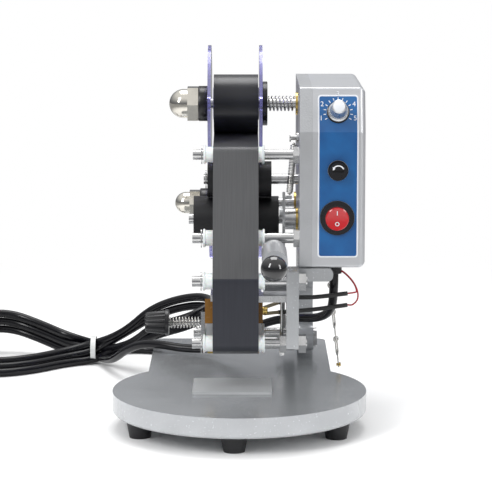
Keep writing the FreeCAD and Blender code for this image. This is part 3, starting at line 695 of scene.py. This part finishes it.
chain_pieces = [link(f"chain_link_{k + 1}", start.lerp(stop, k / count), start.lerp(stop, (k + 1) / count),
                     math.pi / 2 * (k % 2)) for k in range(count)]
clasp = turned("chain_clasp", tuple(stop + Vector((-0.0019, 0, 0.0012))), (1, 0, 0.1),
               [(0, 0.01), (0, 0.9), (0.3, 1.2), (1.6, 1.25), (1.9, 1.7), (3.2, 1.7), (3.6, 1.2),
                (3.6, 0.01)], brass, 20)
chain_pieces.append(clasp)
chain_pieces += [ring(f"chain_ring_{k}", start.lerp(stop, k / count), 0.0021, 0.00055, 0.5 + 1.3 * (k % 2))
                 for k in range(1, count)]
for o in chain_pieces:
    ride(o, "chain")
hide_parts("release_chain")

# ---- knobs and screws ----------------------------------------------------------------
knob = joint("heat_knob_turn")
out = Vector(knob["axis"]).normalized()
face = Vector(knob["pos_m"])


def flutes(count, depth, first, last):
    """Radius factor: shallow scallops on rings first to last."""
    def factor(angle, i):
        if first <= i <= last:
            return 1 - depth * np.abs(np.cos(angle * count / 2)) ** 3
        return np.ones_like(angle)
    return factor


heat = turned("heat_knob", face, out,
              [(1.0, 0.01), (1.0, 7.5), (1.6, 7.8), (3.4, 7.8), (4.0, 7.3), (4.4, 6.9), (5.4, 6.7),
               (16.4, 5.75), (17.6, 5.3), (18.2, 4.6), (18.2, 0.01)],
              aluminium, 96, flutes(24, 0.09, 5, 7))
cap_disc = turned("heat_knob_cap", face + out * 0.0181, out,
                  [(0, 0.01), (0, 4.5), (0.4, 4.4), (0.7, 3.9), (0.8, 0.01)], white_print, 48)
ride(heat, "heat_knob")
ride(cap_disc, "heat_knob")
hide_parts("temperature_knob")
collar = turned("knob_collar", face, out,
                [(0.45, 0.01), (0.45, 8.6), (0.8, 8.6), (0.95, 8.2), (0.95, 0.01)], gloss_black, 48)
ride(collar, "root")

clamp = joint("clamp_screw_turn")
low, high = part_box("thumb_screw")
axis_point = Vector((low.x, clamp["pos_m"][1], clamp["pos_m"][2]))
grip = turned("clamp_knob", axis_point, (1, 0, 0),
              [(0, 0.01), (0, 6.6), (0.8, 7.6), (1.6, 7.9), (14.0, 9.1), (15.4, 9.2), (15.8, 10.1),
               (18.0, 10.1), (18.4, 9.6), (18.4, 0.01)],
              plastic_black, 96, flutes(14, 0.13, 2, 5))
stem_profile = [(18.0, 0.01), (18.0, 2.35)]
for k in range(26):
    stem_profile += [(18.5 + k, 2.4), (19.0 + k, 2.1)]
stem_profile += [(46.0, 2.3), (46.0, 0.01)]
stem = turned("clamp_stem", axis_point, (1, 0, 0), stem_profile, steel, 24)
for o in (grip, stem):
    ride(o, "clamp_screw")
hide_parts("thumb_screw")

for reel, radius in (("supply", 17.4), ("takeup", 13.9)):
    body = f"{reel}_reel"
    c = centre_of(f"{reel}_roll")
    low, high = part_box(f"{reel}_washers")
    left_r = 13.9 if reel == "supply" else 11.9
    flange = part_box(f"{reel}_flanges")
    left_end = flange[0].x / MM - 0.1
    left = turned(f"{reel}_clamp_washer", P(low.x / MM, *c), (1, 0, 0),
                  [(0, 4.3), (0, left_r - 0.5), (0.5, left_r), (left_end - low.x / MM - 0.5, left_r),
                   (left_end - low.x / MM, left_r - 0.5), (left_end - low.x / MM, 4.3)],
                  plastic_black, 96, flutes(48, 0.03, 2, 3))
    right = turned(f"{reel}_flange_washer", P(flange[1].x / MM + 0.1, *c), (1, 0, 0),
                   [(0, 4.3), (0, radius - 0.3), (0.4, radius), (3.5, radius), (3.9, radius - 0.4),
                    (3.9, 4.3)], plastic_black, 64)
    for o in (left, right):
        ride(o, body)
    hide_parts(f"{reel}_washers")
    core = turned(f"{reel}_core", P(RX0 - 0.5, *c), (1, 0, 0),
                  [(0, 4.8), (0, 12.5), (0.3, 12.8), (35.7, 12.8), (36.0, 12.5), (36.0, 4.8)],
                  white_print, 48)
    ride(core, body)


def clip(name, x, c, body, radius=6.6):
    """Retaining clip: a flat open ring with two lobes, on a rod's groove."""
    u = np.radians(np.linspace(30, 330, 40))
    lobe = 1 + 0.16 * np.cos(3 * u)
    rows = []
    for r, dx in ((4.15, 0), (4.15, 0.7), (radius, 0.7), (radius, 0)):
        k = np.where(r > 5, lobe, 1.0)
        rows.append(np.stack([np.full_like(u, x + dx), c[0] + r * k * np.cos(u),
                              c[1] + r * k * np.sin(u)], 1))
    points = A(np.concatenate(rows)).reshape(4, -1, 3)
    o = sharp(grid(name, points.transpose(1, 0, 2), steel, wrap_v=True, caps=True))
    ride(o, body)


clip_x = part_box("guide_roller_1")[0].x / MM - 1.6
clip("clip_1", clip_x, G1, "root")
clip("clip_2", clip_x, G2, "root")
clip("clip_3", clip_x, P1, "press")
clip("clip_4", clip_x, P2, "press")
PINCH = centre_of("pinch_roller")
clip("clip_5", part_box("pinch_roller")[0].x / MM - 1.6, PINCH, "root")

# ---- front label and its marks -------------------------------------------------------
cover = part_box("box_cover")
BX0, BX1 = cover[0].x / MM + 4.0, cover[1].x / MM - 5.5
BY, BZ0, BZ1 = (cover[0].y - TABLE_Y) / MM, (cover[0].z - TOP) / MM, (cover[1].z - TOP) / MM
bend_z = BZ1 - 33.0
lean = math.atan2(12.0, 33.0)
FUSE, SWITCH, KNOB = (75.0, 170.8), (74.5, 134.5), (75.0, 214.5)


def on_panel(x, z, lift):
    """A point on the box's front, flat below the bend and leaning back above it."""
    up = np.maximum(z - bend_z, 0)
    return np.stack([x, BY + up * math.tan(lean) - lift, z], -1)


def panel_patch(name, x0, x1, z0, z1, lift, finish, holes=(), corner=2.0, thick=0.25):
    """A thin rounded rectangle that follows the panel, with round holes left open."""
    from mathutils.geometry import delaunay_2d_cdt
    u = np.linspace(0, math.pi / 2, 6)
    rim = []
    for cx, cz, a in ((x1 - corner, z1 - corner, 0), (x0 + corner, z1 - corner, 1),
                      (x0 + corner, z0 + corner, 2), (x1 - corner, z0 + corner, 3)):
        rim += [(cx + corner * math.cos(v + a * math.pi / 2), cz + corner * math.sin(v + a * math.pi / 2))
                for v in u]
    loops = [rim]
    for cx, cz, r in holes:
        v = np.linspace(0, 2 * math.pi, 48, endpoint=False)
        loops.append([(cx + r * math.cos(k), cz + r * math.sin(k)) for k in v])
    verts = [Vector(p) for ring in loops for p in ring]
    edges, faces, base = [], [], 0
    for ring in loops:
        index = list(range(base, base + len(ring)))
        edges += list(zip(index, index[1:] + index[:1]))
        faces.append(index if base == 0 else index[::-1])
        base += len(ring)
    extra = [(x, bend_z) for x in (x0, x1) if z0 < bend_z < z1]
    if extra:
        verts += [Vector(p) for p in extra]
        edges.append((base, base + 1))
    out_v, _, out_f, _, _, _ = delaunay_2d_cdt(verts, edges, faces, 1, 1e-5)
    middle = [sum((out_v[i] for i in f), Vector((0, 0))) / len(f) for f in out_f]
    keep = [f for f, m in zip(out_f, middle)
            if all((m.x - cx) ** 2 + (m.y - cz) ** 2 > (r * 0.999) ** 2 for cx, cz, r in holes)]
    flat = np.array([(v.x, v.y) for v in out_v])
    o = mesh(name, A(on_panel(flat[:, 0], flat[:, 1], lift)), keep, finish, False)
    m = o.modifiers.new("wall", "SOLIDIFY")
    m.thickness = thick * MM
    m.offset = 0
    outwards(o)
    ride(o, "root")
    return o


openings = [(*FUSE, 7.9), (*SWITCH, 13.3), (*KNOB, 5.0)]
panel_patch("label_border", BX0, BX1, BZ0 + 8.0, BZ1 - 5.5, 0.16, white_print, openings, 2.4)
panel_patch("label_face", BX0 + 1.1, BX1 - 1.1, BZ0 + 9.1, BZ1 - 6.6, 0.34, label_blue, openings, 1.6)


def mark(name, text, x, z, size, finish=white_print, lift=0.52):
    """Raised print: one generic figure or letter, laid on the panel."""
    data = bpy.data.curves.new(name, "FONT")
    data.body = text
    data.size = size * MM
    data.extrude = 0.00008
    data.align_x = "CENTER"
    data.align_y = "CENTER"
    o = bpy.data.objects.new(name, data)
    bpy.context.scene.collection.objects.link(o)
    bpy.context.view_layer.update()
    m = bpy.data.meshes.new_from_object(o.evaluated_get(bpy.context.evaluated_depsgraph_get()))
    bpy.data.objects.remove(o)
    tilt = Matrix.Rotation(math.pi / 2 - (lean if z > bend_z else 0), 4, "X")
    m.transform(Matrix.Translation(Vector(A(on_panel(np.array(x), np.array(z), lift)[None])[0])) @ tilt)
    m.materials.clear()
    m.materials.append(finish)
    o = bpy.data.objects.new(name, m)
    bpy.context.scene.collection.objects.link(o)
    ride(o, "root")
    return o


dial = 13.6
for number, degrees in enumerate((198, 153, 90, 27, -18), 1):
    a = math.radians(degrees)
    mark(f"dial_{number}", str(number), KNOB[0] + dial * math.cos(a), KNOB[1] + dial * math.sin(a), 5.4)


def tick(name, degrees, r0=9.3, r1=11.2, half=0.3):
    """A short printed line pointing at the knob's axis."""
    a = math.radians(degrees)
    ends = [(r0, -half), (r1, -half), (r1, half), (r0, half)]
    x = np.array([KNOB[0] + r * math.cos(a) - w * math.sin(a) for r, w in ends])
    z = np.array([KNOB[1] + r * math.sin(a) + w * math.cos(a) for r, w in ends])
    rows = np.stack([A(on_panel(x, z, 0.44)), A(on_panel(x, z, 0.56))])
    ride(grid(name, rows, white_print, wrap_v=True, caps=True, smooth=False), "root")


for k in range(13):
    tick(f"dial_tick_{k + 1}", 207 - k * 19.5)


def ring_mark(name, centre, radius, y, body, finish=white_print, half=0.45):
    """A printed ring, flat on a face at depth y."""
    v = np.linspace(0, 2 * math.pi, 48, endpoint=False)
    rows = [np.stack([centre[0] + r * np.cos(v), np.full_like(v, y + dy), centre[1] + r * np.sin(v)], 1)
            for r, dy in ((radius - half, 0), (radius + half, 0), (radius + half, 0.1), (radius - half, 0.1))]
    o = grid(name, A(np.concatenate(rows)).reshape(4, -1, 3), finish, wrap_u=True, wrap_v=True)
    ride(o, body)
    return o




def rocker():
    """Rocker face: a disc whose front is a shallow trough across, tilted to its rest side."""
    rings, spokes, r0 = 14, 64, 8.95
    v = np.linspace(0, 2 * math.pi, spokes, endpoint=False)
    rows = []
    for k in np.linspace(0, 1, rings):
        r = r0 * k
        x, z = r * np.cos(v), r * np.sin(v)
        y = -3.9 + 0.9 * (1 - (z / r0) ** 2) + 0.5 * np.clip((k - 0.94) / 0.06, 0, 1)
        rows.append(np.stack([x, y, z], 1))
    rows.append(np.stack([r0 * np.cos(v), np.full_like(v, 2.8), r0 * np.sin(v)], 1))
    rows.append(np.stack([0.01 * np.cos(v), np.full_like(v, 2.8), 0.01 * np.sin(v)], 1))
    p = np.concatenate(rows)
    a = math.radians(6)
    dy = p[:, 1] - 2.5
    y = 2.5 + dy * math.cos(a) - p[:, 2] * math.sin(a)
    z = dy * math.sin(a) + p[:, 2] * math.cos(a)
    p = np.stack([p[:, 0] + SWITCH[0], y + BY, z + SWITCH[1]], 1)
    return sharp(grid("rocker_face", A(p).reshape(len(rows), spokes, 3), red, wrap_v=True))


face_piece = rocker()
ride(face_piece, "rocker")
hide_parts("rocker_button")
block_i = block("rocker_mark_on", (SWITCH[0] - 0.35, BY - 4.1, SWITCH[1] + 2.4),
                (SWITCH[0] + 0.35, BY - 3.2, SWITCH[1] + 5.8), white_print, 0.08)
ride(block_i, "rocker")
ring_mark("rocker_mark_off", (SWITCH[0], SWITCH[1] - 4.4), 1.35, BY - 3.2, "rocker", half=0.3)
bezel = turned("switch_bezel", P(SWITCH[0], BY - 0.4, SWITCH[1]), (0, -1, 0),
               [(0, 10.1), (0, 12.9), (0.6, 13.0), (1.4, 12.5), (1.75, 11.6), (1.75, 10.4), (1.2, 10.1)],
               gloss_black, 72)
ride(bezel, "root")
fuse_ring = turned("fuse_ring", P(FUSE[0], BY - 0.5, FUSE[1]), (0, -1, 0),
                   [(0, 6.75), (0, 7.5), (0.7, 7.6), (1.0, 7.1), (1.05, 6.75)], gloss_black, 60)
ride(fuse_ring, "root")
fuse_front = (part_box("fuse_cap")[0].y - TABLE_Y) / MM


def fuse_arrow(radius=4.3, half=0.45, raised=0.12):
    """A printed arc over the cap with a barb at its left end, which shows the way it opens."""
    a = np.radians(np.append(np.linspace(25, 140, 24), [140, 168]))
    wide = np.append(np.full(24, half), [3 * half, 0.02])
    rows = []
    for side, lift in ((-1, 0.0), (1, 0.0), (1, raised), (-1, raised)):
        r = radius + side * wide
        rows.append(np.stack([FUSE[0] + r * np.cos(a), np.full_like(a, fuse_front - lift),
                              FUSE[1] + r * np.sin(a)], 1))
    points = A(np.concatenate(rows)).reshape(4, -1, 3).transpose(1, 0, 2)
    return grid("fuse_arrow", points, white_print, wrap_v=True, caps=True, smooth=False)


ride(fuse_arrow(), "fuse_carrier")

# ---- small pieces on the press frame and plate ---------------------------------------
for k, sign in enumerate((-5.0, 5.0)):
    y, z = at_rest(head_mid + sign, 2.8 + 33)
    post = turned(f"terminal_{k + 1}", P(18.05, y, z), (1, 0, 0),
                  [(0, 0.01), (0, 3.4), (1.2, 3.4), (1.2, 2.0), (2.0, 2.0), (2.0, 2.9), (3.4, 2.9),
                   (3.8, 2.2), (3.8, 0.01)],
                  brass, 6 if k else 24)
    ride(post, "press")
stop_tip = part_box("stop_screw")
profile = [(0, 0.01), (0, 1.3), (0.5, 1.75), (3.6, 1.85), (4.4, 1.2), (4.4, 0.01)]
stop_mid = (stop_tip[0] + stop_tip[1]) / 2
tip = turned("stop_tip", (stop_mid.x, stop_mid.y, stop_tip[0].z + 0.00005), (0, 0, 1), profile,
             gloss_black, 24)
ride(tip, "press")

rollers = {"guide_roller_1": "upper_roller", "guide_roller_2": "middle_roller",
           "press_roller_1": "front_press_roller", "press_roller_2": "low_press_roller",
           "press_roller_3": "rear_press_roller"}
for node, body in rollers.items():
    low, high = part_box(node)
    c = centre_of(node)
    long = (high.x - low.x) / MM
    spool = turned(f"{node}_spool", P(low.x / MM, *c), (1, 0, 0),
                   [(0, 4.2), (0, 6.6), (0.4, 7.1), (1.4, 7.1), (1.8, 6.7), (2.1, 6.12), (long - 2.1, 6.12),
                    (long - 1.8, 6.7), (long - 1.4, 7.1), (long - 0.4, 7.1), (long, 6.6), (long, 4.2)],
                   nylon, 64)
    ride(spool, body)
    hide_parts(node)

# ---- camera, floor and light ---------------------------------------------------------
scene = bpy.context.scene
camera = bpy.data.objects.new("camera", bpy.data.cameras.new("camera"))
scene.collection.objects.link(camera)
camera.data.lens = 161.0
camera.data.sensor_width = 36.0
camera.data.clip_end = 20
camera.location = (0.0051, TABLE_Y - 1.664, TOP + 0.3732)
camera.rotation_euler = (math.radians(90 - 8.92), 0, 0)
scene.camera = camera


def flat(name, half, z, finish):
    corners = [(-half, -half, z), (half, -half, z), (half, half, z), (-half, half, z)]
    o = mesh(name, corners, [(0, 1, 2, 3)], finish)
    return o


def white_floor():
    """White ground that keeps its shadows near the machine and fades to plain white away from it."""
    m = material("pale_floor", (0.95, 0.95, 0.95), 0.75)
    links, b = m.node_tree.links, m.node_tree.nodes["Principled BSDF"]
    where = add(m, "ShaderNodeNewGeometry")
    away = add(m, "ShaderNodeVectorMath")
    away.operation = "LENGTH"
    links.new(where.outputs["Position"], away.inputs[0])
    fade = add(m, "ShaderNodeMapRange", interpolation_type="SMOOTHSTEP")
    fade.inputs["From Min"].default_value = 0.2
    fade.inputs["From Max"].default_value = 0.75
    links.new(away.outputs["Value"], fade.inputs["Value"])
    plain = add(m, "ShaderNodeEmission")
    ray = add(m, "ShaderNodeLightPath")
    glow = span(m, ray.outputs["Is Camera Ray"], 0.4, 1.0)
    links.new(glow, plain.inputs["Strength"])
    blend_in = add(m, "ShaderNodeMixShader")
    links.new(fade.outputs["Result"], blend_in.inputs["Fac"])
    links.new(b.outputs["BSDF"], blend_in.inputs[1])
    links.new(plain.outputs["Emission"], blend_in.inputs[2])
    links.new(blend_in.outputs["Shader"], m.node_tree.nodes["Material Output"].inputs["Surface"])
    return m


flat("studio_floor", 6.0, 0.0, white_floor())


def lamp(name, place_at, aim, size, power, tall=None):
    data = bpy.data.lights.new(name, "AREA")
    data.shape = "RECTANGLE"
    data.size = size
    data.size_y = tall or size
    data.energy = power
    o = bpy.data.objects.new(name, data)
    o.location = place_at
    o.rotation_euler = (Vector(aim) - Vector(place_at)).to_track_quat("-Z", "Y").to_euler()
    scene.collection.objects.link(o)


lamp("key", (-1.1, -1.2, 1.2), (0, 0, 0.12), 0.4, 16, 1.1)
lamp("fill", (1.3, -1.0, 0.7), (0, 0, 0.12), 0.35, 8, 1.0)
lamp("top", (0.0, 0.5, 1.7), (0, 0, 0.1), 1.0, 15)


def studio():
    """White to the camera; a room with a bright ceiling and dim walls to everything else."""
    world = bpy.data.worlds.new("studio")
    world.use_nodes = True
    tree = world.node_tree
    room = tree.nodes["Background"]
    coords = tree.nodes.new("ShaderNodeTexCoord")
    split = tree.nodes.new("ShaderNodeSeparateXYZ")
    ramp = tree.nodes.new("ShaderNodeValToRGB")
    tree.links.new(coords.outputs["Generated"], split.inputs["Vector"])
    shift = tree.nodes.new("ShaderNodeMapRange")
    shift.inputs["From Min"].default_value = -1.0
    tree.links.new(split.outputs["Z"], shift.inputs["Value"])
    tree.links.new(shift.outputs["Result"], ramp.inputs["Fac"])
    ramp.color_ramp.elements[0].position = 0.46
    ramp.color_ramp.elements[0].color = (0.10, 0.10, 0.11, 1)
    ramp.color_ramp.elements[1].position = 0.86
    ramp.color_ramp.elements[1].color = (1.0, 1.0, 1.0, 1)
    middle = ramp.color_ramp.elements.new(0.6)
    middle.color = (0.30, 0.31, 0.33, 1)
    tree.links.new(ramp.outputs["Color"], room.inputs["Color"])
    room.inputs["Strength"].default_value = 0.9
    seen = tree.nodes.new("ShaderNodeBackground")
    path = tree.nodes.new("ShaderNodeLightPath")
    choose = tree.nodes.new("ShaderNodeMixShader")
    tree.links.new(path.outputs["Is Camera Ray"], choose.inputs["Fac"])
    tree.links.new(room.outputs["Background"], choose.inputs[1])
    tree.links.new(seen.outputs["Background"], choose.inputs[2])
    tree.links.new(choose.outputs["Shader"], tree.nodes["World Output"].inputs["Surface"])
    seen.inputs["Color"].default_value = (1, 1, 1, 1)
    return world


scene.world = studio()
scene.view_settings.view_transform = "Standard"
